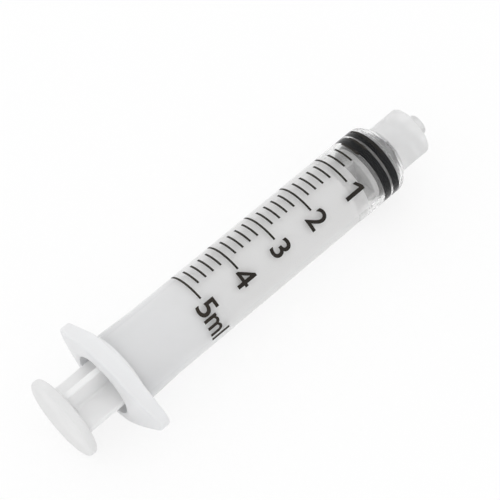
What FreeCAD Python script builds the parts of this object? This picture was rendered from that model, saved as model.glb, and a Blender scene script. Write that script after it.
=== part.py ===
import FreeCAD
import Part
import math
import os
import re
import Sketcher

# A 5 ml luer lock syringe lying along X, sizes in millimetres.
# The origin is the middle of the male luer tip's end face, and +X points out of the tip.
# +Z points out of the side that carries the scale, and +Y runs along the finger flange.
# Every length that ends in "back" is a distance behind the tip's end face, towards the thumb.

doc = FreeCAD.newDocument("luer_lock_syringe")

# Driving sizes
SIZES = {
    # luer lock
    "tip_end_radius": 1.97,
    "tip_taper": 0.06,
    "nozzle_radius": 1.0,
    "tip_projection": 2.1,
    "collar_inner_radius": 4.0,
    "collar_wall": 0.95,
    "recess_depth": 5.9,
    "collar_height": 6.6,
    "collar_edge": 0.3,
    # barrel
    "bore_radius": 6.03,
    "barrel_wall": 0.986,
    "shoulder_length": 2.0,
    "shoulder_edge": 1.9,
    "front_wall": 1.0,
    "front_cone_length": 1.75,
    "tube_length": 66.95,
    "flare_length": 8.6,
    "flare_growth": 0.4,
    "bead_height": 0.25,
    "bead_width": 1.2,
    "bead_inset": 4.4,
    "mouth_length": 2.6,
    "mouth_growth": 0.3,
    # finger flange
    "flange_thickness": 3.7,
    "wing_taper": 1.65,
    "wing_taper_start": 7.0,
    "flange_reach": 14.1,
    "flange_half_width": 8.5,
    "flange_flat_half": 4.0,
    "flange_end_radius": 2.6,
    "flange_corner_radius": 8.0,
    "flange_edge": 0.4,
    "flange_root_fillet": 1.2,
    # stopper
    "nose_gap": 0.2,
    "rib_setback": 0.4,
    "rib_clearance": 0.03,
    "front_rib_width": 1.75,
    "groove_width": 0.35,
    "groove_depth": 0.6,
    "rear_rib_width": 1.9,
    "rib_edge": 0.15,
    "skirt_length": 0.3,
    "skirt_depth": 0.5,
    "nose_flat_radius": 1.2,
    # plunger rod
    "socket_clearance": 0.05,
    "neck_radius": 1.9,
    "neck_length": 1.3,
    "head_radius": 3.0,
    "head_rim": 0.6,
    "head_cone_length": 1.0,
    "head_face_radius": 1.7,
    "disc_radius": 5.55,
    "disc_thickness": 1.1,
    "disc_spacing": 4.9,
    "vane_radius": 5.5,
    "vane_thickness": 1.3,
    "vane_fillet": 0.6,
    "rod_length": 72.1,
    "press_radius": 8.25,
    "press_thickness": 1.7,
    "press_edge": 0.6,
    "press_root_radius": 4.6,
    "press_root_length": 1.6,
}

sheet = doc.addObject("Spreadsheet::Sheet", "Sizes")
for row, (alias, number) in enumerate(SIZES.items(), start=1):
    sheet.set(f"A{row}", alias)
    sheet.set(f"B{row}", str(number))
    sheet.setAlias(f"B{row}", alias)
doc.recompute()

# Places along the axis, each worked out from the driving sizes
PLACES = {
    "collar_rim_back": "tip_projection",
    "recess_back": "collar_rim_back + recess_depth",
    "shoulder_front_back": "collar_rim_back + collar_height",
    "shoulder_back": "shoulder_front_back + shoulder_length",
    "nozzle_back": "recess_back + front_wall",
    "bore_front_back": "nozzle_back + front_cone_length",
    "flange_front_back": "bore_front_back + tube_length - flange_thickness",
    "mouth_back": "flange_front_back + flange_thickness",
    "flare_back": "flange_front_back - flare_length",
    "bead_back": "mouth_back - bead_inset",
    "barrel_radius": "bore_radius + barrel_wall",
    "collar_radius": "collar_inner_radius + collar_wall",
    "rib_radius": "bore_radius - rib_clearance",
    "front_rib_back": "bore_front_back + rib_setback",
    "groove_back": "front_rib_back + front_rib_width",
    "rear_rib_back": "groove_back + groove_width",
    "skirt_back": "rear_rib_back + rear_rib_width",
    "stopper_back": "skirt_back + skirt_length",
    "disc_back": "stopper_back + socket_clearance",
    "head_back": "stopper_back - neck_length",
    "cavity_back": "head_back + socket_clearance",
    "head_cone_back": "head_back - head_rim",
    "head_face_back": "head_cone_back - head_cone_length",
    "second_disc_back": "disc_back + disc_spacing + disc_thickness",
    "rod_back": "disc_back + rod_length",
    "press_back": "rod_back - press_thickness",
    "press_root_back": "press_back - press_root_length",
}


def spell_out(text):
    """Put each place back into driving sizes, and name the sheet that holds them."""
    while any(word in PLACES for word in re.findall("[a-z_]+", text)):
        text = re.sub("[a-z_]+", lambda m: f"({PLACES[m[0]]})" if m[0] in PLACES else m[0], text)
    return re.sub("[a-z_]+", lambda m: f"Sizes.{m[0]}" if m[0] in SIZES else m[0], text)


def value(text):
    return float(sheet.evalExpression(spell_out(text)))


def new_body(name):
    body = doc.addObject("PartDesign::Body", name)
    body.Label = name
    return body


def new_sketch(body, name, plane, back=None):
    """A sketch on one of the body's own origin planes, or that far behind the tip's end face."""
    sketch = body.newObject("Sketcher::SketchObject", name)
    origin_plane = next(f for f in body.Origin.OriginFeatures if f.Role == plane)
    sketch.AttachmentSupport = [(origin_plane, "")]
    sketch.MapMode = "FlatFace"
    if back:
        sketch.setExpression("AttachmentOffset.Base.z", f"-({spell_out(back)})")
    return sketch


def bind(sketch, kind, *where_and_size):
    """Add one dimension whose size stays bound to the sheet."""
    *where, size = where_and_size
    index = sketch.addConstraint(Sketcher.Constraint(kind, *where, value(size)))
    sketch.setExpression(f"Constraints[{index}]", spell_out(size))


def half_section(body, name, corners):
    """A closed half section above the axis; each corner is (distance behind the tip, radius)."""
    sketch = new_sketch(body, name, "XZ_Plane")
    points = [FreeCAD.Vector(-value(back), value(radius), 0) for back, radius in corners]
    count = len(points)
    for i in range(count):
        sketch.addGeometry(Part.LineSegment(points[i], points[(i + 1) % count]))
    for i in range(count):
        sketch.addConstraint(Sketcher.Constraint("Coincident", i, 2, (i + 1) % count, 1))
    for i, (back, radius) in enumerate(corners):
        bind(sketch, "DistanceX", i, 1, -1, 1, back)
        if radius == "0":
            sketch.addConstraint(Sketcher.Constraint("PointOnObject", i, 1, -1))
        else:
            bind(sketch, "DistanceY", -1, 1, i, 1, radius)
    return sketch


def turn(body, name, corners, cut=False):
    """Revolve a half section about the axis, adding material or cutting it."""
    sketch = half_section(body, name + "_section", corners)
    feature = body.newObject("PartDesign::Groove" if cut else "PartDesign::Revolution", name)
    feature.Profile = sketch
    feature.ReferenceAxis = (sketch, ["H_Axis"])
    feature.Angle = 360.0
    doc.recompute()
    return feature


def pad(body, name, sketch, length):
    feature = body.newObject("PartDesign::Pad", name)
    feature.Profile = sketch
    feature.setExpression("Length", spell_out(length))
    doc.recompute()
    return feature


def fillet(body, name, radius, wanted):
    """Round the edges of the body that the given test picks."""
    base = body.Tip
    edges = [f"Edge{i}" for i, edge in enumerate(base.Shape.Edges, start=1) if wanted(edge)]
    feature = body.newObject("PartDesign::Fillet", name)
    feature.Base = (base, edges)
    feature.setExpression("Radius", spell_out(radius))
    doc.recompute()
    return feature


def is_ring(back, radius):
    """A test for the full circle of that radius about the axis, that far behind the tip."""
    def wanted(edge):
        if not isinstance(edge.Curve, Part.Circle):
            return False
        centre = edge.Curve.Center
        on_axis = math.hypot(centre.y, centre.z) < 1e-6
        return (on_axis and abs(edge.Curve.Radius - value(radius)) < 1e-6
                and abs(centre.x + value(back)) < 1e-6)
    return wanted


def build_barrel():
    """Barrel, finger flange, luer tip and threaded collar are one clear moulding."""
    body = new_body("barrel")
    tip_root_radius = "tip_end_radius + tip_taper / 2 * shoulder_front_back"
    turn(body, "tube_and_collar", [
        ("collar_rim_back", "0"),
        ("collar_rim_back", "collar_radius"),
        ("shoulder_front_back", "collar_radius"),
        ("shoulder_back", "barrel_radius"),
        ("flare_back", "barrel_radius"),
        ("flange_front_back", "barrel_radius + flare_growth"),
        ("mouth_back", "barrel_radius + flare_growth"),
        ("mouth_back", "0"),
    ])
    add_flange(body)
    turn(body, "collar_recess", [
        ("collar_rim_back - collar_edge", "0"),
        ("collar_rim_back - collar_edge", "collar_inner_radius"),
        ("recess_back", "collar_inner_radius"),
        ("recess_back", "0"),
    ], cut=True)
    turn(body, "luer_tip", [
        ("0", "0"),
        ("0", "tip_end_radius"),
        ("shoulder_front_back", tip_root_radius),
        ("shoulder_front_back", "0"),
    ])
    turn(body, "nozzle", [
        ("0", "0"),
        ("0", "nozzle_radius"),
        ("bore_front_back", "nozzle_radius"),
        ("bore_front_back", "0"),
    ], cut=True)
    turn(body, "bore", [
        ("nozzle_back", "0"),
        ("nozzle_back", "nozzle_radius"),
        ("bore_front_back", "bore_radius"),
        ("bead_back - bead_width / 2", "bore_radius"),
        ("bead_back", "bore_radius - bead_height"),
        ("bead_back + bead_width / 2", "bore_radius"),
        ("mouth_back - mouth_length", "bore_radius"),
        ("mouth_back", "bore_radius + mouth_growth"),
        ("mouth_back", "0"),
    ], cut=True)
    fillet(body, "collar_edges", "collar_edge", is_ring("collar_rim_back", "collar_radius"))
    fillet(body, "shoulder_edge_round", "shoulder_edge", is_ring("shoulder_back", "barrel_radius"))
    return body


def add_flange(body):
    """Two finger wings, thinner towards their rounded ends, flat above and below the mouth."""
    sketch = new_sketch(body, "flange_outline", "YZ_Plane", back="mouth_back")
    corner = FreeCAD.Vector(value("flange_flat_half"), value("flange_half_width"), 0)
    centre = FreeCAD.Vector(value("flange_reach - flange_end_radius"), 0, 0)
    radius = value("flange_end_radius")
    to_corner = corner - centre
    turned = math.atan2(to_corner.y, to_corner.x) - math.acos(radius / to_corner.Length)
    touch = centre + FreeCAD.Vector(math.cos(turned), math.sin(turned), 0) * radius

    def line(first, last):
        sketch.addGeometry(Part.LineSegment(first, last))

    def wing_end(side, start, stop):
        circle = Part.Circle(centre * side, FreeCAD.Vector(0, 0, 1), radius)
        sketch.addGeometry(Part.ArcOfCircle(circle, start, stop))

    def at(point, y, z):
        return FreeCAD.Vector(point.x * y, point.y * z, 0)

    top, bottom, left_end, right_end = 0, 4, 2, 6
    line(at(corner, 1, 1), at(corner, -1, 1))
    line(at(corner, -1, 1), at(touch, -1, 1))
    wing_end(-1, math.pi - turned, math.pi + turned)
    line(at(touch, -1, -1), at(corner, -1, -1))
    line(at(corner, -1, -1), at(corner, 1, -1))
    line(at(corner, 1, -1), at(touch, 1, -1))
    wing_end(1, -turned, turned)
    line(at(touch, 1, 1), at(corner, 1, 1))
    for i in range(8):
        meet = "Tangent" if {i, (i + 1) % 8} & {left_end, right_end} else "Coincident"
        sketch.addConstraint(Sketcher.Constraint(meet, i, 2, (i + 1) % 8, 1))
    for flat in (top, bottom):
        sketch.addConstraint(Sketcher.Constraint("Symmetric", flat, 1, flat, 2, -2))
    bind(sketch, "DistanceX", -1, 1, top, 1, "flange_flat_half")
    bind(sketch, "DistanceY", -1, 1, top, 1, "flange_half_width")
    bind(sketch, "DistanceX", bottom, 1, -1, 1, "flange_flat_half")
    bind(sketch, "DistanceY", bottom, 1, -1, 1, "flange_half_width")
    for end in (left_end, right_end):
        sketch.addConstraint(Sketcher.Constraint("PointOnObject", end, 3, -1))
        bind(sketch, "Radius", end, "flange_end_radius")
    bind(sketch, "DistanceX", -1, 1, right_end, 3, "flange_reach - flange_end_radius")
    bind(sketch, "DistanceX", left_end, 3, -1, 1, "flange_reach - flange_end_radius")
    pad(body, "flange", sketch, "flange_thickness")

    def is_corner(edge):
        y, z = (abs(c) for c in edge.CenterOfMass[1:])
        return abs(y - corner.x) < 1e-4 and abs(z - corner.y) < 1e-4

    def is_rim(edge):
        middle = -value("flange_front_back + (flange_thickness - wing_taper) / 2")
        same_side = all(v.X > middle for v in edge.Vertexes) or all(v.X < middle for v in edge.Vertexes)
        outside = all(math.hypot(v.Y, v.Z) > corner.y - 1e-4 or abs(v.Z) > corner.y - 1e-4
                      for v in edge.Vertexes)
        return same_side and outside

    fillet(body, "flange_corners", "flange_corner_radius", is_corner)
    turn(body, "wing_backs", [
        ("mouth_back", "wing_taper_start"),
        ("mouth_back", "2 * flange_reach - wing_taper_start"),
        ("mouth_back - 2 * wing_taper", "2 * flange_reach - wing_taper_start"),
    ], cut=True)
    fillet(body, "flange_rim", "flange_edge", is_rim)
    fillet(body, "flange_root", "flange_root_fillet",
           is_ring("flange_front_back", "barrel_radius + flare_growth"))


def build_stopper():
    """The black rubber stopper has two ribs, a cone nose and a socket for the rod's head."""
    body = new_body("stopper")
    turn(body, "ribs_and_nose", [
        ("nozzle_back + nose_gap", "0"),
        ("nozzle_back + nose_gap", "nose_flat_radius"),
        ("front_rib_back", "rib_radius - rib_edge"),
        ("front_rib_back + rib_edge", "rib_radius"),
        ("groove_back - rib_edge", "rib_radius"),
        ("groove_back", "rib_radius - groove_depth"),
        ("rear_rib_back", "rib_radius - groove_depth"),
        ("rear_rib_back + rib_edge", "rib_radius"),
        ("skirt_back - rib_edge", "rib_radius"),
        ("skirt_back", "rib_radius - skirt_depth"),
        ("stopper_back", "rib_radius - skirt_depth"),
        ("stopper_back", "0"),
    ])
    turn(body, "socket", [
        ("head_face_back - socket_clearance", "0"),
        ("head_face_back - socket_clearance", "head_face_radius + socket_clearance"),
        ("head_cone_back - socket_clearance", "head_radius + socket_clearance"),
        ("cavity_back", "head_radius + socket_clearance"),
        ("cavity_back", "neck_radius + socket_clearance"),
        ("stopper_back", "neck_radius + socket_clearance"),
        ("stopper_back", "0"),
    ], cut=True)
    return body


def build_rod():
    """The plunger rod has four vanes, two discs, a snap-in head and a round thumb press."""
    body = new_body("plunger_rod")
    turn(body, "thumb_press", [
        ("press_root_back", "0"),
        ("press_root_back", "vane_thickness"),
        ("press_back", "press_root_radius"),
        ("press_back", "press_radius"),
        ("rod_back", "press_radius"),
        ("rod_back", "0"),
    ])
    add_vanes(body)
    turn(body, "front_disc", [
        ("disc_back", "0"),
        ("disc_back", "disc_radius"),
        ("disc_back + disc_thickness", "disc_radius"),
        ("disc_back + disc_thickness", "0"),
    ])
    turn(body, "second_disc", [
        ("second_disc_back", "0"),
        ("second_disc_back", "disc_radius"),
        ("second_disc_back + disc_thickness", "disc_radius"),
        ("second_disc_back + disc_thickness", "0"),
    ])
    turn(body, "snap_head", [
        ("disc_back", "0"),
        ("disc_back", "neck_radius"),
        ("head_back", "neck_radius"),
        ("head_back", "head_radius"),
        ("head_cone_back", "head_radius"),
        ("head_face_back", "head_face_radius"),
        ("head_face_back", "0"),
    ])
    for name, back in (("press_front_edge", "press_back"), ("press_rear_edge", "rod_back")):
        fillet(body, name, "press_edge", is_ring(back, "press_radius"))
    return body


def add_vanes(body):
    """A plus-shaped section run from the thumb press to the front disc."""
    sketch = new_sketch(body, "vane_section", "YZ_Plane", back="press_back + press_thickness / 2")
    reach, half = "vane_radius", "vane_thickness / 2"
    quarter = [(reach, half), (half, half), (half, reach)]
    corners = []
    for turns in range(4):
        for y, z in quarter:
            sign_y, sign_z = ((1, 1), (-1, 1), (-1, -1), (1, -1))[turns]
            corner = (sign_y, y, sign_z, z) if turns % 2 == 0 else (sign_y, z, sign_z, y)
            corners.append(corner)
    points = [FreeCAD.Vector(sy * value(y), sz * value(z), 0) for sy, y, sz, z in corners]
    count = len(points)
    for i in range(count):
        sketch.addGeometry(Part.LineSegment(points[i], points[(i + 1) % count]))
    for i in range(count):
        sketch.addConstraint(Sketcher.Constraint("Coincident", i, 2, (i + 1) % count, 1))
    for i, (sign_y, y, sign_z, z) in enumerate(corners):
        ends = (-1, 1, i, 1) if sign_y > 0 else (i, 1, -1, 1)
        bind(sketch, "DistanceX", *ends, y)
        ends = (-1, 1, i, 1) if sign_z > 0 else (i, 1, -1, 1)
        bind(sketch, "DistanceY", *ends, z)
    pad(body, "vanes", sketch, "press_back + press_thickness / 2 - disc_back - disc_thickness / 2")

    def is_inner_corner(edge):
        at = value(half)
        along = isinstance(edge.Curve, Part.Line) and abs(edge.Curve.Direction.x) > 0.999
        return along and all(abs(abs(c) - at) < 1e-4 for c in edge.CenterOfMass[1:])

    fillet(body, "vane_roots", "vane_fillet", is_inner_corner)


bodies = [build_barrel(), build_stopper(), build_rod()]
doc.recompute()

for thing in doc.Objects:
    if "Invalid" in thing.State or "Error" in thing.State:
        raise RuntimeError(f"{thing.Name} is {thing.State}")
for body in bodies:
    if body.Shape.isNull() or not body.Shape.isValid():
        raise RuntimeError(f"{body.Label} has no sound shape")

os.makedirs("parts", exist_ok=True)
for body in bodies:
    body.Shape.exportStep(f"parts/{body.Label}.step")
    print(body.Label, len(body.Shape.Solids), "solid,", round(body.Shape.Volume, 1), "mm3")
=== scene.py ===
import bmesh
import bpy
import math
from mathutils import Matrix, Vector


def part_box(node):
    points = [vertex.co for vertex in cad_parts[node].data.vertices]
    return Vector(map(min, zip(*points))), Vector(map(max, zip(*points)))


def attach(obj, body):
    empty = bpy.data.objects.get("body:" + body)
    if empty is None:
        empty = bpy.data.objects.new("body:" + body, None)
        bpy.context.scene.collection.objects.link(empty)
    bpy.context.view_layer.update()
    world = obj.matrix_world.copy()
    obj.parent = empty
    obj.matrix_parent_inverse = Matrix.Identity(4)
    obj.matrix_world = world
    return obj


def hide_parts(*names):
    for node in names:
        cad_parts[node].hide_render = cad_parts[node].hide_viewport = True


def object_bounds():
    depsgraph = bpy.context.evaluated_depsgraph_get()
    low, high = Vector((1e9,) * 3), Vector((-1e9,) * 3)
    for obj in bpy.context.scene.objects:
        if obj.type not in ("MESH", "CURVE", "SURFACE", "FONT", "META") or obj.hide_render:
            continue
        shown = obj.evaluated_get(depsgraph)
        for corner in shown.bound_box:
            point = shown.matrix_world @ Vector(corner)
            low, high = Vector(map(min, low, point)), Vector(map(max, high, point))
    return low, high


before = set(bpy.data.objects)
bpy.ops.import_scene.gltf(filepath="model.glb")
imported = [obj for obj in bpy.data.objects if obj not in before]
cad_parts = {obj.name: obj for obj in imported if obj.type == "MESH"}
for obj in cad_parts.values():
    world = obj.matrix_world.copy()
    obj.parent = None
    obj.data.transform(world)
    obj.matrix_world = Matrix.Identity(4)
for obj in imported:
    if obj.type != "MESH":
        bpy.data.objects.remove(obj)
cadLow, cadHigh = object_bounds()
print("frame loaded:", sorted(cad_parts))

mm = 0.001
tiny = 1e-7
sharpAngle = 40
barrelLow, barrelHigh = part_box("barrel")
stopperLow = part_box("stopper")[0]
rodLow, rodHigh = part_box("plunger_rod")


# outlines and turned shapes

def rounded(corners, steps=6, closed=False):
    # (x, radius) or (x, radius, rounding) in mm; each rounding becomes an arc
    points = []
    count = len(corners)
    for i, corner in enumerate(corners):
        here = Vector(corner[:2])
        size = corner[2] if len(corner) > 2 else 0
        if not size or (not closed and i in (0, count - 1)):
            points.append(here)
            continue
        before = (Vector(corners[i - 1][:2]) - here).normalized()
        after = (Vector(corners[(i + 1) % count][:2]) - here).normalized()
        half = before.angle(after) / 2
        centre = here + (before + after).normalized() * (size / math.sin(half))
        start = here + before * (size / math.tan(half)) - centre
        turn = start.angle_signed(here + after * (size / math.tan(half)) - centre)
        for k in range(steps + 1):
            points.append(centre + Matrix.Rotation(-turn * k / steps, 2) @ start)
    return points


def turned(name, outline, closed=False, steps=192):
    # spins an outline, given in mm as (x, radius), about the syringe's axis
    bm = bmesh.new()
    verts = [bm.verts.new((x * mm, 0, r * mm)) for x, r in outline]
    pairs = zip(verts, verts[1:] + verts[:1] if closed else verts[1:])
    edges = [bm.edges.new(pair) for pair in pairs]
    bmesh.ops.spin(bm, geom=verts + edges, cent=(0, 0, 0), axis=(1, 0, 0), dvec=(0, 0, 0),
                   angle=math.tau, steps=steps, use_merge=True, use_normal_flip=False,
                   use_duplicate=False)
    bmesh.ops.remove_doubles(bm, verts=bm.verts, dist=tiny)
    bmesh.ops.recalc_face_normals(bm, faces=bm.faces)
    return finished(bm, name)


def finished(bm, name, sharp=sharpAngle):
    # a bmesh becomes an object at the origin, smooth apart from its sharp edges
    mesh = bpy.data.meshes.new(name)
    bm.to_mesh(mesh)
    bm.free()
    mesh.shade_smooth()
    mesh.set_sharp_from_angle(angle=math.radians(sharp))
    obj = bpy.data.objects.new(name, mesh)
    bpy.context.scene.collection.objects.link(obj)
    return obj


def dress(obj, materials, body, replaces=None):
    for material in materials if isinstance(materials, list) else [materials]:
        obj.data.materials.append(material)
    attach(obj, body)
    if replaces:
        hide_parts(replaces)


# materials

def newGroup(name, inputs, outputs):
    group = bpy.data.node_groups.new(name, "ShaderNodeTree")
    for direction, sockets in (("INPUT", inputs), ("OUTPUT", outputs)):
        for label, kind in sockets.items():
            group.interface.new_socket(name=label, in_out=direction,
                                       socket_type="NodeSocket" + kind)
    return group, group.nodes.new("NodeGroupInput"), group.nodes.new("NodeGroupOutput")


def mouldedSurface():
    # long faint waves and a fine grain from the mould, as a normal and a roughness
    group, given, out = newGroup("mouldedSurface", {
        "Wave Scale": "Float", "Grain Scale": "Float", "Strength": "Float",
        "Roughness": "Float", "Rear Roughness": "Float", "Spread": "Float",
        "Rear From": "Float", "Rear To": "Float",
    }, {"Roughness": "Float", "Normal": "Vector"})
    nodes, links = group.nodes, group.links
    coords = nodes.new("ShaderNodeTexCoord")
    wave = nodes.new("ShaderNodeTexNoise")
    wave.inputs["Detail"].default_value = 1.0
    grain = nodes.new("ShaderNodeTexNoise")
    grain.inputs["Detail"].default_value = 2.0
    for texture, size in ((wave, "Wave Scale"), (grain, "Grain Scale")):
        links.new(coords.outputs["Object"], texture.inputs["Vector"])
        links.new(given.outputs[size], texture.inputs["Scale"])
    height = nodes.new("ShaderNodeMix")
    height.inputs["Factor"].default_value = 0.2
    links.new(wave.outputs["Fac"], height.inputs["A"])
    links.new(grain.outputs["Fac"], height.inputs["B"])
    bump = nodes.new("ShaderNodeBump")
    bump.inputs["Distance"].default_value = 0.05 * mm
    links.new(given.outputs["Strength"], bump.inputs["Strength"])
    links.new(height.outputs["Result"], bump.inputs["Height"])
    links.new(bump.outputs["Normal"], out.inputs["Normal"])
    rear = behind(nodes, links, coords, given, "Rear")
    rough = nodes.new("ShaderNodeMix")
    links.new(rear.outputs["Result"], rough.inputs["Factor"])
    links.new(given.outputs["Roughness"], rough.inputs["A"])
    links.new(given.outputs["Rear Roughness"], rough.inputs["B"])
    spread = nodes.new("ShaderNodeMath")
    spread.operation = "MULTIPLY_ADD"
    links.new(grain.outputs["Fac"], spread.inputs[0])
    links.new(given.outputs["Spread"], spread.inputs[1])
    links.new(rough.outputs["Result"], spread.inputs[2])
    links.new(spread.outputs["Value"], out.inputs["Roughness"])
    return group


def behind(nodes, links, coords, given, zone):
    # 0 in front of the zone's first place on the axis, 1 behind its last
    split = nodes.new("ShaderNodeSeparateXYZ")
    share = nodes.new("ShaderNodeMapRange")
    share.interpolation_type = "SMOOTHSTEP"
    links.new(given.outputs[zone + " From"], share.inputs["From Min"])
    links.new(given.outputs[zone + " To"], share.inputs["From Max"])
    links.new(coords.outputs["Object"], split.inputs["Vector"])
    links.new(split.outputs["X"], share.inputs["Value"])
    return share


def cloudedColour():
    # the colour in three zones along the axis, from the tip to the thumb, a little uneven; on the rod
    # and in the bore the zones hold painted shade and painted light
    group, given, out = newGroup("cloudedColour", {
        "Front Colour": "Color", "Colour": "Color", "Rear Colour": "Color",
        "Cloud Colour": "Color", "Cloud Scale": "Float",
        "Middle From": "Float", "Middle To": "Float", "Rear From": "Float", "Rear To": "Float",
    }, {"Colour": "Color"})
    nodes, links = group.nodes, group.links
    coords = nodes.new("ShaderNodeTexCoord")
    rear = behind(nodes, links, coords, given, "Rear")
    cloud = nodes.new("ShaderNodeTexNoise")
    cloud.inputs["Detail"].default_value = 3.0
    share = nodes.new("ShaderNodeMapRange")
    share.inputs["From Min"].default_value = 0.35
    share.inputs["From Max"].default_value = 0.75
    share.inputs["To Max"].default_value = 0.6
    links.new(coords.outputs["Object"], cloud.inputs["Vector"])
    links.new(given.outputs["Cloud Scale"], cloud.inputs["Scale"])
    links.new(cloud.outputs["Fac"], share.inputs["Value"])
    middle = behind(nodes, links, coords, given, "Middle")
    colour = given.outputs["Front Colour"]
    for factor, other in ((middle, "Colour"), (rear, "Rear Colour"), (share, "Cloud Colour")):
        mix = nodes.new("ShaderNodeMix")
        mix.data_type = "RGBA"
        links.new(factor.outputs["Result"], mix.inputs["Factor"])
        links.new(colour, mix.inputs[6])
        links.new(given.outputs[other], mix.inputs[7])
        colour = mix.outputs[2]
    links.new(colour, out.inputs["Colour"])
    return group


surfaceGroup = mouldedSurface()
colourGroup = cloudedColour()


def plastic(name, settings):
    material = bpy.data.materials.new(name)
    material.use_nodes = True
    nodes, links = material.node_tree.nodes, material.node_tree.links
    shader = nodes["Principled BSDF"]
    surface = nodes.new("ShaderNodeGroup")
    surface.node_tree = surfaceGroup
    colour = nodes.new("ShaderNodeGroup")
    colour.node_tree = colourGroup
    for node, part in ((surface, "surface"), (colour, "colour"), (shader, "shader")):
        for socket, value in settings[part].items():
            node.inputs[socket].default_value = value
    # where the zones change, in mm on the axis
    for node, zone in ((surface, "Rear"), (colour, "Rear"), (colour, "Middle")):
        for end, x in zip((" From", " To"), settings["zones"][zone]):
            node.inputs[zone + end].default_value = x * mm
    links.new(surface.outputs["Roughness"], shader.inputs["Roughness"])
    links.new(surface.outputs["Normal"], shader.inputs["Normal"])
    links.new(colour.outputs["Colour"], shader.inputs["Base Color"])
    return material


def grey(value, warm=0.0):
    return (value + warm, value, value - warm, 1)


def clearer(settings, transmission):
    # the same plastic with another share of light let through
    shader = dict(settings["shader"], **{"Transmission Weight": transmission})
    return dict(settings, shader=shader)


# the tube's outside is clear and its bore hazy, and together they look like natural polypropylene;
# the haze thickens behind the rod's front end, and the bore's colour lightens towards the flange,
# painted light that lifts the tube where the flange shades it
tubeZones = {"Middle": (-12.0, -13.0), "Rear": (-45.0, -66.0)}
clearSkin = {
    "surface": {"Wave Scale": 140.0, "Grain Scale": 900.0, "Strength": 0.03, "Roughness": 0.10,
                "Rear Roughness": 0.16, "Spread": 0.05},
    "colour": {"Front Colour": grey(1.0), "Colour": grey(1.0), "Rear Colour": grey(1.0),
               "Cloud Colour": grey(0.99), "Cloud Scale": 90.0},
    "shader": {"Transmission Weight": 1.0, "IOR": 1.19, "Specular IOR Level": 0.4},
    "zones": tubeZones,
}
hazyBore = {
    "surface": {"Wave Scale": 90.0, "Grain Scale": 700.0, "Strength": 0.04, "Roughness": 0.3,
                "Rear Roughness": 0.45, "Spread": 0.06},
    # the rear colour, the lightest, is painted light where the flange shades the tube
    "colour": {"Front Colour": grey(0.95), "Colour": grey(0.93, 0.004),
               "Rear Colour": (0.985, 0.99, 1.0, 1), "Cloud Colour": grey(0.96), "Cloud Scale": 70.0},
    "shader": {"Transmission Weight": 0.1, "IOR": 1.2, "Specular IOR Level": 0.0},
    "zones": tubeZones,
}
clearBore = clearer(dict(hazyBore, surface=dict(hazyBore["surface"], Roughness=0.18)), 0.8)
blendedBore = clearer(hazyBore, 0.35)
milkyPlastic = {
    "surface": {"Wave Scale": 140.0, "Grain Scale": 900.0, "Strength": 0.05, "Roughness": 0.3,
                "Rear Roughness": 0.34, "Spread": 0.06},
    "colour": {"Front Colour": grey(1.0), "Colour": grey(0.97),
               "Rear Colour": (0.925, 0.93, 0.94, 1), "Cloud Colour": (0.945, 0.948, 0.955, 1),
               "Cloud Scale": 160.0},
    "shader": {"Transmission Weight": 0.15, "IOR": 1.45},
    "zones": tubeZones,
}
collarPlastic = clearer(milkyPlastic, 0.38)
whitePlasticPaintedShadeAndLight = {
    "surface": {"Wave Scale": 120.0, "Grain Scale": 3000.0, "Strength": 0.15, "Roughness": 0.32,
                "Rear Roughness": 0.36, "Spread": 0.1},
    # painted shade: the head and front disc are dark grey for the shade behind the black stopper;
    # painted light: the vanes and second disc are lighter than the press, to lift the shade that the
    # flange and the press cast on the rod
    "colour": {"Front Colour": grey(0.45), "Colour": grey(0.95), "Rear Colour": grey(0.76),
               "Cloud Colour": grey(0.86), "Cloud Scale": 130.0},
    "shader": {"IOR": 1.49},
    "zones": {"Middle": (-16.8, -23.0), "Rear": (-84.0, -86.0)},
}
blackRubber = {
    "surface": {"Wave Scale": 300.0, "Grain Scale": 6000.0, "Strength": 0.3, "Roughness": 0.35,
                "Rear Roughness": 0.35, "Spread": 0.2},
    "colour": {"Front Colour": (0.008, 0.0085, 0.010, 1), "Colour": (0.008, 0.0085, 0.010, 1),
               "Rear Colour": grey(0.009), "Cloud Colour": grey(0.014), "Cloud Scale": 900.0},
    "shader": {"IOR": 1.52, "Specular IOR Level": 0.1},
    "zones": tubeZones,
}
blackInk = {
    "surface": {"Wave Scale": 900.0, "Grain Scale": 9000.0, "Strength": 0.3, "Roughness": 0.4,
                "Rear Roughness": 0.4, "Spread": 0.2},
    "colour": {"Front Colour": grey(0.012, 0.002), "Colour": grey(0.014, 0.003),
               "Rear Colour": grey(0.028, 0.008), "Cloud Colour": grey(0.028, 0.005),
               "Cloud Scale": 1500.0},
    "shader": {"IOR": 1.45, "Specular IOR Level": 0.2},
    "zones": tubeZones,
}


# barrel

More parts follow.
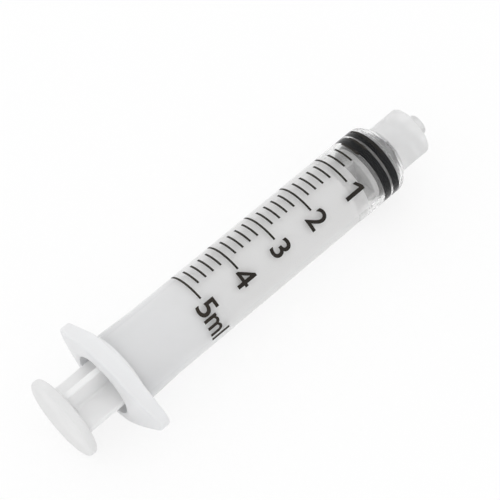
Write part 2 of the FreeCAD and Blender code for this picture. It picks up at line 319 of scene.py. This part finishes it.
barrel = {
    "boreRadius": 6.03,
    "tubeRadius": 7.016,
    "shoulderX": -10.7,
    "collarRootX": -8.7,
    "collarRimX": -2.1,
    "collarRadius": 4.95,
    "recessRadius": 4.0,
    "recessX": -8.0,
    "tipRadius": 1.97,
    "tipTaper": 0.03,
    "nozzleRadius": 1.0,
    "coneTipX": -9.0,
    "coneX": -10.75,
    "flareX": -65.4,
    "flareRadius": 7.416,
    "flangeThickness": 3.7,
    "flangeEdge": 0.4,
    "rootFillet": 0.65,
    "rootGrowth": 1.85,
    "beadX": -73.3,
    "beadHeight": 0.25,
    "beadWidth": 1.2,
    "mouthLength": 2.6,
    "mouthGrowth": 0.3,
    "steps": 240,
    # how round the section's corners are
    "edges": {"collarRim": 0.3, "collarRoot": 0.25, "shoulder": 1.9, "flare": 20.0, "mouth": 0.6,
              "mouthInside": 0.15, "bead": 0.4, "cone": 0.4, "nozzle": 0.2, "tipInside": 0.1,
              "tip": 0.15, "recess": 0.2, "recessRim": 0.25},
    # where each of the barrel's plastics begins
    "hazeFrom": (-18.8, -21.5),
    "clearBehindFlange": 1.0,
    "skinFrom": 0.95,
    "boreTo": 1.01,
    "collarTo": 5.1,
}
flange = {
    "taper": 1.65,
    "taperFrom": 7.0,
    "directions": 1440,
    # shares that tell the flange's parts from one another
    "tolerance": 1.01,
    "backFrom": 1.5,
    "halfWidth": 8.5,
    "flatHalf": 4.0,
    "endRadius": 2.6,
    "cornerRadius": 8.0,
}


def backSlope():
    # how far the wings' backs lean forwards for each mm out from the axis
    return flange["taper"] / (barrelHigh.y / mm - flange["taperFrom"])


def barrelOutline(b):
    # the wall's section as one closed loop: outside from the collar's rim, round the mouth and
    # back up the bore
    mouth = barrelLow.x / mm
    flangeFront = mouth + b["flangeThickness"]
    recessTip = b["tipRadius"] - b["tipTaper"] * b["recessX"]
    rim = flange["halfWidth"]
    rimBack = mouth + (rim - flange["taperFrom"]) * backSlope()
    edges = b["edges"]
    return rounded([
        (b["collarRimX"], b["collarRadius"], edges["collarRim"]),
        (b["collarRootX"], b["collarRadius"], edges["collarRoot"]),
        (b["shoulderX"], b["tubeRadius"], edges["shoulder"]),
        (b["flareX"], b["tubeRadius"], edges["flare"]),
        (flangeFront, b["flareRadius"], b["rootFillet"]),
        (flangeFront, rim, b["flangeEdge"]),
        (rimBack, rim, b["flangeEdge"]),
        (mouth, flange["taperFrom"], edges["mouth"]),
        (mouth, b["boreRadius"] + b["mouthGrowth"], edges["mouthInside"]),
        (mouth + b["mouthLength"], b["boreRadius"]),
        (b["beadX"] - b["beadWidth"] / 2, b["boreRadius"]),
        (b["beadX"], b["boreRadius"] - b["beadHeight"], edges["bead"]),
        (b["beadX"] + b["beadWidth"] / 2, b["boreRadius"]),
        (b["hazeFrom"][1], b["boreRadius"]),
        (b["hazeFrom"][0], b["boreRadius"]),
        (b["coneX"], b["boreRadius"], edges["cone"]),
        (b["coneTipX"], b["nozzleRadius"], edges["nozzle"]),
        (0, b["nozzleRadius"], edges["tipInside"]),
        (0, b["tipRadius"], edges["tip"]),
        (b["recessX"], recessTip, edges["recess"]),
        (b["recessX"], b["recessRadius"], edges["recess"]),
        (b["collarRimX"], b["recessRadius"], edges["recessRim"]),
    ], closed=True)


def flangeReach(f, reach):
    # the flange's outline as a distance from the axis in each direction, from six circles in a
    # tight band
    corner = Vector((f["flatHalf"], f["halfWidth"]))
    end = Vector((reach - f["endRadius"], 0))
    slope = (corner - end).angle(Vector((1, 0)))
    lean = slope - math.acos(f["endRadius"] / (corner - end).length)
    inset = f["cornerRadius"] * math.tan((math.pi / 2 - lean) / 2)
    circles = []
    for side in (-1, 1):
        circles.append((end * side, f["endRadius"]))
        for upper in (-1, 1):
            middle = Vector(((f["flatHalf"] - inset) * side,
                             (f["halfWidth"] - f["cornerRadius"]) * upper))
            circles.append((middle, f["cornerRadius"]))
    band = []
    for k in range(f["directions"]):
        turn = k * math.tau / f["directions"]
        way = Vector((math.cos(turn), math.sin(turn)))
        centre, radius = max(circles, key=lambda c: c[0].dot(way) + c[1])
        band.append(centre + way * radius)

    def distance(angle):
        ray = Vector((math.cos(angle), math.sin(angle)))
        for first, last in zip(band, band[1:] + band[:1]):
            if first.cross(ray) >= 0 and ray.cross(last) >= 0 and first.dot(ray) > 0:
                return first.cross(last - first) / ray.cross(last - first)
    return distance


def shapeFlange(obj):
    # the round flange that was spun is drawn out into its two wings
    rim = flange["halfWidth"] * mm
    edge = flange["tolerance"] * barrel["flangeEdge"] * mm
    front = barrelLow.x + barrel["flangeThickness"] * mm
    root = Vector((front, barrel["flareRadius"] * mm))
    fillet = flange["tolerance"] * barrel["rootFillet"] * mm
    reach = flangeReach(flange, barrelHigh.y / mm)
    reachAt = {}
    for v in obj.data.vertices:
        if v.co.x > front + fillet:
            continue
        radius = math.hypot(v.co.y, v.co.z)
        angle = round(math.atan2(v.co.z, v.co.y), 5)
        if angle not in reachAt:
            reachAt[angle] = reach(angle) * mm
        grown = reachAt[angle] - rim
        if radius > rim - edge:
            v.co.yz = v.co.yz * ((radius + grown) / radius)
            if v.co.x < front - barrel["flangeEdge"] * mm * flange["backFrom"]:
                v.co.x += grown * backSlope()
        elif v.co.x >= front - tiny and radius > root.y - tiny:
            # the fillet at the wings' root widens where the flange reaches out
            growth = min(barrel["rootGrowth"], 1 + grown / fillet)
            along, out = v.co.x - root.x, radius - root.y
            v.co.x = root.x + along * growth
            v.co.yz = v.co.yz * ((root.y + out * growth) / radius)
    obj.data.shade_smooth()
    obj.data.set_sharp_from_angle(angle=math.radians(sharpAngle))


def makeBarrel():
    b = barrel
    obj = turned("barrelShell", barrelOutline(b), closed=True, steps=b["steps"])
    shapeFlange(obj)
    plastics = {"milkyPlastic": milkyPlastic, "collarPlastic": collarPlastic,
                "clearSkin": clearSkin, "clearBore": clearBore, "blendedBore": blendedBore,
                "hazyBore": hazyBore}
    order = list(plastics)
    # the tube's outside stays clear, so that the stopper shows black where it presses on the bore
    clearFrom = (barrelLow.x / mm + b["flangeThickness"] + b["clearBehindFlange"]) * mm
    for face in obj.data.polygons:
        x = face.center.x
        radius = math.hypot(face.center.y, face.center.z)
        onTube = radius > b["skinFrom"] * b["tubeRadius"] * mm
        onShoulder = x > b["shoulderX"] * mm and radius > b["collarTo"] * mm
        inside = radius < b["boreTo"] * b["boreRadius"] * mm and x < b["coneTipX"] * mm
        if (onTube or onShoulder) and x > clearFrom:
            face.material_index = order.index("clearSkin")
        elif inside:
            hazes = sum(x < place * mm for place in b["hazeFrom"])
            face.material_index = order.index("clearBore") + hazes
        elif x > clearFrom:
            face.material_index = order.index("collarPlastic")
    dress(obj, [plastic(*item) for item in plastics.items()], "barrel", "barrel")
    print("barrel turned:", len(obj.data.polygons), "faces")


makeBarrel()


lockThread = {
    "starts": 2,
    "lead": 5.0,
    "turns": 0.86,
    "fromX": -7.3,
    "crestRadius": 3.5,
    "crestWidth": 0.6,
    "rootWidth": 1.5,
    "steps": 72,
    "fade": 0.08,
    "lowest": 0.02,
    "sink": 0.03,
    "sharp": 60,
}


def makeThread():
    # each ridge is a section spun along its helix, and its ends fade into the collar's wall
    t = lockThread
    root = (barrel["recessRadius"] + t["sink"]) * mm
    crest = t["crestRadius"] * mm
    middle = t["fromX"] * mm
    bm = bmesh.new()
    for start in range(t["starts"]):
        bmesh.ops.rotate(bm, verts=bm.verts, cent=(0, 0, 0),
                         matrix=Matrix.Rotation(math.tau / t["starts"], 3, "X"))
        done = set(bm.verts)
        section = []
        for width, radius in ((-t["rootWidth"], root), (-t["crestWidth"], crest),
                              (t["crestWidth"], crest), (t["rootWidth"], root)):
            section.append(bm.verts.new((middle + width * mm / 2, 0, radius)))
        bmesh.ops.spin(bm, geom=[bm.faces.new(section)], cent=(0, 0, 0), axis=(1, 0, 0),
                       dvec=(t["lead"] * t["turns"] * mm / t["steps"], 0, 0),
                       angle=math.tau * t["turns"], steps=t["steps"],
                       use_merge=False, use_normal_flip=False, use_duplicate=False)
        for v in set(bm.verts) - done:
            radius = math.hypot(v.co.y, v.co.z)
            way = math.atan2(-v.co.y, v.co.z) % math.tau / math.tau
            way = 0 if way > 0.99 else way
            fade = min(1, way / t["fade"], (t["turns"] - way) / t["fade"])
            v.co.yz = v.co.yz * ((root - (root - radius) * max(fade, t["lowest"])) / radius)
    bmesh.ops.recalc_face_normals(bm, faces=bm.faces)
    obj = finished(bm, "lockThreadRidges", sharp=t["sharp"])
    dress(obj, plastic("threadPlastic", collarPlastic), "barrel")
    print("thread made:", len(obj.data.polygons), "faces")


makeThread()


# printed scale

scale = {
    "zeroX": -12.0,
    "perMl": 8.757,
    "step": 0.2,
    "top": 5,
    "lineWidth": 0.4,
    "inkThickness": 0.02,
    "inkSink": 0.005,
    "longFrom": 51.0,
    "longTo": -25.9,
    "shortFrom": 34.0,
    "shortTo": -5.3,
    "skewPerMl": 1.2,
    "skewFrom": 3,
    "digitHeight": 4.1,
    "digitWeight": 0.11,
    "digitStretch": 1.08,
    "unitStretch": 1.0,
    "digitMiddle": -42.0,
    "emHeight": 0.72,
    "emMiddle": 0.36,
    "cutWidth": 0.25,
    "unitFrom": -55.0,
}


def placeOf(ml):
    # the line's place on the axis, and how far the print is turned there, since it runs a little askew
    return (scale["zeroX"] - ml * scale["perMl"]) * mm, scale["skewPerMl"] * (ml - scale["skewFrom"])


def scaleLine(bm, ml, start, stop):
    x, skew = placeOf(ml)
    half = scale["lineWidth"] * mm / 2
    low = (barrel["tubeRadius"] - scale["inkSink"]) * mm
    high = (barrel["tubeRadius"] + scale["inkThickness"]) * mm
    corners = [(x - half, 0, low), (x + half, 0, low), (x + half, 0, high), (x - half, 0, high)]
    face = bm.faces.new([bm.verts.new(c) for c in corners])
    # a turn about +X takes +Z towards -Y, so the print's angles, from +Z towards +Y, are
    # negative turns
    bmesh.ops.rotate(bm, verts=face.verts, cent=(0, 0, 0),
                     matrix=Matrix.Rotation(-math.radians(start + skew), 3, "X"))
    bmesh.ops.spin(bm, geom=[face], cent=(0, 0, 0), axis=(1, 0, 0), dvec=(0, 0, 0),
                   angle=math.radians(start - stop), steps=int(start - stop) // 2 + 2,
                   use_merge=False, use_normal_flip=False, use_duplicate=False)


def makeLines():
    bm = bmesh.new()
    count = round(scale["top"] / scale["step"])
    for i in range(count + 1):
        whole = i % round(1 / scale["step"]) == 0
        kind = "long" if whole else "short"
        scaleLine(bm, i * scale["step"], scale[kind + "From"], scale[kind + "To"])
    bmesh.ops.recalc_face_normals(bm, faces=bm.faces)
    return finished(bm, "scaleLines")


def lettering(name, words):
    curve = bpy.data.curves.new(name, "FONT")
    curve.body = words
    curve.size = 1.0
    curve.offset = scale["digitWeight"] / scale["digitHeight"] / 2
    curve.extrude = 0.5
    flat = bpy.data.objects.new(name + "Flat", curve)
    bpy.context.scene.collection.objects.link(flat)
    bpy.context.view_layer.update()
    evaluated = flat.evaluated_get(bpy.context.evaluated_depsgraph_get())
    mesh = bpy.data.meshes.new_from_object(evaluated)
    bpy.data.objects.remove(flat)
    bm = bmesh.new()
    bm.from_mesh(mesh)
    bpy.data.meshes.remove(mesh)
    bmesh.ops.remove_doubles(bm, verts=bm.verts, dist=1e-5)
    return bm


# numerals that the lettering draws unlike the scale's, in its units and in parts that meet
ownNumerals = {
    "1": [[(0.03, 0.47), (0.03, 0.59), (0.24, 0.73), (0.36, 0.73), (0.36, -0.01), (0.225, -0.01),
           (0.225, 0.585)]],
    "4": [[(0.35, 0.73), (0.44, 0.73), (0.44, 0.32), (0.52, 0.32), (0.52, 0.205), (0.44, 0.205),
           (0.44, -0.01), (0.315, -0.01), (0.315, 0.205), (0.315, 0.32), (0.315, 0.53)],
          [(0.35, 0.73), (0.315, 0.53), (0.155, 0.32), (0.315, 0.32), (0.315, 0.205), (0.0, 0.205),
           (0.0, 0.29)]],
}


def drawnVerts(drawn):
    return [v for v in drawn["geom"] if isinstance(v, bmesh.types.BMVert)]


def ownNumeral(outlines):
    bm = bmesh.new()
    corners = {}
    for x, y in sum(outlines, []):
        if (x, y) not in corners:
            corners[x, y] = bm.verts.new((x, y, -0.5))
    faces = [bm.faces.new([corners[place] for place in outline]) for outline in outlines]
    drawn = bmesh.ops.extrude_face_region(bm, geom=faces)
    bmesh.ops.translate(bm, verts=drawnVerts(drawn), vec=(0, 0, 1))
    return bm


def printed(name, words, ml, middle=None, left=None):
    # flat letters with their tops towards the tip, then wrapped round the barrel
    bm = ownNumeral(ownNumerals[words]) if words in ownNumerals else lettering(name, words)
    xs = [v.co.x for v in bm.verts]
    size = scale["digitHeight"] * mm / scale["emHeight"]
    stretch = scale["digitStretch"] if words.isdigit() else scale["unitStretch"]
    width = (max(xs) - min(xs)) * size * stretch
    cuts = max(2, int(width / (scale["cutWidth"] * mm)))
    for k in range(1, cuts):
        at = min(xs) + (max(xs) - min(xs)) * k / cuts
        bmesh.ops.bisect_plane(bm, geom=bm.verts[:] + bm.edges[:] + bm.faces[:],
                               plane_co=(at, 0, 0), plane_no=(1, 0, 0), dist=1e-6)
    tube = barrel["tubeRadius"] * mm
    x, skew = placeOf(ml)
    start = left if left is not None else middle + math.degrees(width / tube) / 2
    for v in bm.verts:
        along = x + (v.co.y - scale["emMiddle"]) * size
        angle = math.radians(start + skew) - (v.co.x - min(xs)) * size * stretch / tube
        radius = tube + (scale["inkThickness"] if v.co.z > 0 else -scale["inkSink"]) * mm
        v.co = (along, radius * math.sin(angle), radius * math.cos(angle))
    bmesh.ops.recalc_face_normals(bm, faces=bm.faces)
    return finished(bm, name)


def makeScale():
    ink = plastic("blackInk", blackInk)
    dress(makeLines(), ink, "barrel")
    for ml in range(1, scale["top"] + 1):
        numeral = printed(f"numeral{ml}", str(ml), ml, middle=scale["digitMiddle"])
        dress(numeral, ink, "barrel")
    unit = printed("unit", "ml", scale["top"], left=scale["unitFrom"])
    dress(unit, ink, "barrel")
    print("scale printed")


makeScale()


# stopper

# the ribs reach a little into the bore's wall, as rubber is pressed against it
stopper = {
    "ribRadius": 6.045,
    "frontX": -11.12,
    "frontRib": 1.75,
    "groove": 0.32,
    "grooveDepth": 0.6,
    "rearRib": 1.93,
    "skirtDepth": 0.5,
    "noseX": -9.2,
    "noseFlat": 1.2,
    "headRadius": 3.05,
    "neckRadius": 1.95,
    "cavityX": -14.2,
    "headConeX": -13.5,
    "headFaceX": -12.5,
    "headFaceRadius": 1.75,
    "ribEdge": 0.15,
    "ribChamfer": 0.25,
    "grooveEdge": 0.05,
    "grooveRounding": 0.08,
    "endRounding": 0.15,
    "rounding": 0.1,
    "steps": 160,
}


def makeStopper():
    s = stopper
    back = stopperLow.x / mm
    groove = s["frontX"] - s["frontRib"]
    rear = groove - s["groove"]
    skirt = rear - s["rearRib"]
    outer, inner, edge = s["ribRadius"], s["ribRadius"] - s["grooveDepth"], s["rounding"]
    skirtRadius = s["ribRadius"] - s["skirtDepth"]
    obj = turned("stopperRubber", rounded([
        (s["noseX"], 0),
        (s["noseX"], s["noseFlat"], s["endRounding"]),
        (s["frontX"], outer - s["ribChamfer"], edge),
        (s["frontX"] - s["ribEdge"], outer, edge),
        (groove + s["grooveEdge"], outer, s["grooveRounding"]),
        (groove, inner, edge),
        (rear, inner, edge),
        (rear - s["grooveEdge"], outer, s["grooveRounding"]),
        (skirt + s["ribEdge"], outer, edge),
        (skirt, skirtRadius, edge),
        (back, skirtRadius, s["endRounding"]),
        (back, s["neckRadius"], edge),
        (s["cavityX"], s["neckRadius"], edge),
        (s["cavityX"], s["headRadius"], edge),
        (s["headConeX"], s["headRadius"], edge),
        (s["headFaceX"], s["headFaceRadius"], edge),
        (s["headFaceX"], 0),
    ]), steps=s["steps"])
    dress(obj, plastic("blackRubber", blackRubber), "stopper", "stopper")
    print("stopper turned")


makeStopper()


# plunger rod

rod = {
    "discX": -15.5,
    "discRadius": 5.55,
    "discThickness": 1.1,
    "secondDiscX": -21.5,
    "neckRadius": 1.9,
    "headBackX": -14.15,
    "headRadius": 3.0,
    "headConeX": -13.55,
    "headFaceRadius": 1.7,
    "vaneRadius": 5.5,
    "vaneThickness": 1.3,
    "vaneRoot": 0.6,
    "vaneEdge": 0.288,
    "edge": 0.18,
    "pressThickness": 1.7,
    "pressEdge": 0.6,
    "pressRootRadius": 4.6,
    "pressRootLength": 1.6,
    "pressRootEdge": 0.5,
    "headEdge": 0.2,
    "neckEdge": 0.1,
    "neckSink": 0.3,
    "pressSteps": 160,
    "discSteps": 128,
    "headSteps": 96,
}


def joined(name, objs):
    bm = bmesh.new()
    for obj in objs:
        bm.from_mesh(obj.data)
        bpy.data.objects.remove(obj)
    return finished(bm, name)


def makeVanes(front, back):
    # a plus-shaped section, its inner corners rounded, drawn from the press to the front disc
    reach, half = rod["vaneRadius"] * mm, rod["vaneThickness"] * mm / 2
    bm = bmesh.new()
    corners = []
    for turns in range(4):
        spin = Matrix.Rotation(turns * math.pi / 2, 3, "X")
        for y, z in ((reach, half), (half, half), (half, reach)):
            corners.append(spin @ Vector((back, y, z)))
    face = bm.faces.new([bm.verts.new(c) for c in corners])
    drawn = bmesh.ops.extrude_face_region(bm, geom=[face])
    bmesh.ops.translate(bm, verts=drawnVerts(drawn), vec=(front - back, 0, 0))
    long = [e for e in bm.edges if abs(e.verts[0].co.x - e.verts[1].co.x) > 1 * mm]
    roots = [e for e in long if math.hypot(e.verts[0].co.y, e.verts[0].co.z) < 2 * half]
    tips = [e for e in long if e not in roots]
    for edges, width, segments in ((roots, rod["vaneRoot"], 5), (tips, rod["vaneEdge"], 4)):
        bmesh.ops.bevel(bm, geom=edges, offset=width * mm, offset_type="OFFSET", segments=segments,
                        profile=0.5, affect="EDGES", clamp_overlap=True, material=-1)
    bmesh.ops.recalc_face_normals(bm, faces=bm.faces)
    return finished(bm, "vanes")


def makeRod():
    r = rod
    back = rodLow.x / mm
    face = rodHigh.x / mm
    press = back + r["pressThickness"]
    radius = rodHigh.z / mm
    pressPart = turned("press", rounded([
        (press + r["pressRootLength"], 0),
        (press + r["pressRootLength"], r["vaneThickness"]),
        (press, r["pressRootRadius"], r["pressRootEdge"]),
        (press, radius, r["pressEdge"]),
        (back, radius, r["pressEdge"]),
        (back, 0),
    ]), steps=r["pressSteps"])
    discs = []
    for x in (r["discX"], r["secondDiscX"]):
        discs.append(turned("disc", rounded([
            (x, 0),
            (x, r["discRadius"], r["edge"]),
            (x - r["discThickness"], r["discRadius"], r["edge"]),
            (x - r["discThickness"], 0),
        ], steps=4), steps=r["discSteps"]))
    head = turned("head", rounded([
        (face, 0),
        (face, r["headFaceRadius"], r["headEdge"]),
        (r["headConeX"], r["headRadius"], r["headEdge"]),
        (r["headBackX"], r["headRadius"], r["neckEdge"]),
        (r["headBackX"], r["neckRadius"], r["neckEdge"]),
        (r["discX"] - r["neckSink"], r["neckRadius"]),
        (r["discX"] - r["neckSink"], 0),
    ], steps=4), steps=r["headSteps"])
    vanes = makeVanes((r["discX"] - r["discThickness"] / 2) * mm, (press - r["pressThickness"] / 2) * mm)
    obj = joined("plungerRod", [pressPart, vanes, head] + discs)
    dress(obj, plastic("whitePlasticPaintedShadeAndLight", whitePlasticPaintedShadeAndLight), "plunger_rod", "plunger_rod")
    print("rod made:", len(obj.data.polygons), "faces")


makeRod()


# floor, light and camera

studio = {
    "floorSize": 4.0,
    "floorColour": (1.0, 1.0, 1.0, 1),
    "shadowShare": 0.2,
    "brightest": 1.02,
    "dimmest": 0.86,
    "brightSide": (-0.3, 0.5, 0.8),
}


def seenDirectly(nodes, links):
    # 1 for what the camera sees itself, in a reflection or through the clear plastic
    path = nodes.new("ShaderNodeLightPath")
    total = path.outputs["Is Camera Ray"]
    for ray in ("Is Glossy Ray", "Is Transmission Ray"):
        add = nodes.new("ShaderNodeMath")
        add.operation = "ADD"
        add.use_clamp = True
        links.new(total, add.inputs[0])
        links.new(path.outputs[ray], add.inputs[1])
        total = add.outputs["Value"]
    return add


def makeFloor():
    # pale paper that glows white for the camera and keeps a share of the object's shadow
    bm = bmesh.new()
    bmesh.ops.create_grid(bm, x_segments=1, y_segments=1, size=studio["floorSize"] / 2)
    bmesh.ops.translate(bm, verts=bm.verts, vec=(cadLow.x / 2, 0, cadLow.z))
    obj = finished(bm, "floor")
    material = bpy.data.materials.new("floorPaper")
    material.use_nodes = True
    nodes, links = material.node_tree.nodes, material.node_tree.links
    shader = nodes["Principled BSDF"]
    shader.inputs["Base Color"].default_value = studio["floorColour"]
    shader.inputs["Roughness"].default_value = 1.0
    shader.inputs["Specular IOR Level"].default_value = 0.0
    glow = nodes.new("ShaderNodeEmission")
    glow.inputs["Strength"].default_value = 1.0
    share = nodes.new("ShaderNodeMath")
    share.operation = "MULTIPLY"
    share.inputs[1].default_value = 1 - studio["shadowShare"]
    mix = nodes.new("ShaderNodeMixShader")
    links.new(seenDirectly(nodes, links).outputs["Value"], share.inputs[0])
    links.new(share.outputs["Value"], mix.inputs["Fac"])
    links.new(shader.outputs["BSDF"], mix.inputs[1])
    links.new(glow.outputs["Emission"], mix.inputs[2])
    links.new(mix.outputs["Shader"], nodes["Material Output"].inputs["Surface"])
    obj.data.materials.append(material)


def makeLight():
    # one large soft light all round, a little brighter from above on the thumb's side
    world = bpy.data.worlds.new("studioWorld")
    world.use_nodes = True
    nodes, links = world.node_tree.nodes, world.node_tree.links
    nodes["Background"].inputs["Color"].default_value = (1, 1, 1, 1)
    coords = nodes.new("ShaderNodeTexCoord")
    facing = nodes.new("ShaderNodeVectorMath")
    facing.operation = "DOT_PRODUCT"
    facing.inputs[1].default_value = Vector(studio["brightSide"]).normalized()
    soft = nodes.new("ShaderNodeMapRange")
    soft.inputs["From Min"].default_value = -1.0
    soft.inputs["To Min"].default_value = studio["dimmest"]
    soft.inputs["To Max"].default_value = studio["brightest"]
    strength = nodes.new("ShaderNodeMix")
    strength.inputs["B"].default_value = 1.0
    links.new(coords.outputs["Generated"], facing.inputs[0])
    links.new(facing.outputs["Value"], soft.inputs["Value"])
    links.new(seenDirectly(nodes, links).outputs["Value"], strength.inputs["Factor"])
    links.new(soft.outputs["Result"], strength.inputs["A"])
    links.new(strength.outputs["Result"], nodes["Background"].inputs["Strength"])
    bpy.context.scene.world = world


camera = {
    "frame": 500,             # the picture's side in pixels
    "axisInPicture": 39.59,   # the syringe's axis climbs to the right by this angle
    "tipAway": 17.15,         # the tip leans away from the camera
    "scaleTurned": 30.0,      # the scale side is turned up and left from facing the camera
    "lineAt": 2.5,            # the line, in ml, that the view is set by
    "distance": 431.0,        # mm to that line
    "pixelsPerMm": 5.501,     # at that line
    "lineInPicture": (284.9, 234.4),
}


def makeCamera():
    c = camera
    climb, away, roll = (math.radians(c[k]) for k in ("axisInPicture", "tipAway", "scaleTurned"))
    # right, down and forwards, as the camera sees the syringe's own axes
    axis = Vector((math.cos(away) * math.cos(climb), -math.cos(away) * math.sin(climb), math.sin(away)))
    up = Vector((-math.sin(climb), -math.cos(climb), 0))
    near = axis.cross(up)
    side = up * math.cos(roll) - near * math.sin(roll)
    top = up * math.sin(roll) + near * math.cos(roll)
    seen = Matrix((axis, side, top)).transposed()
    middle = c["frame"] / 2
    line = Vector([(p - middle) / c["pixelsPerMm"] for p in c["lineInPicture"]] + [c["distance"]])
    origin = line + axis * (c["lineAt"] * scale["perMl"] - scale["zeroX"])
    flip = Matrix(((1, 0, 0), (0, -1, 0), (0, 0, -1)))
    data = bpy.data.cameras.new("photoView")
    data.sensor_width = 36.0
    data.lens = c["pixelsPerMm"] * c["distance"] / c["frame"] * data.sensor_width
    data.clip_start = 0.01
    view = bpy.data.objects.new("photoView", data)
    turn = (flip @ seen).transposed()
    view.matrix_world = Matrix.Translation(seen.transposed() @ origin * -mm) @ turn.to_4x4()
    bpy.context.scene.collection.objects.link(view)
    bpy.context.scene.camera = view


makeFloor()
makeLight()
makeCamera()
bpy.context.scene.view_settings.view_transform = "Standard"
print("floor, light and camera set")
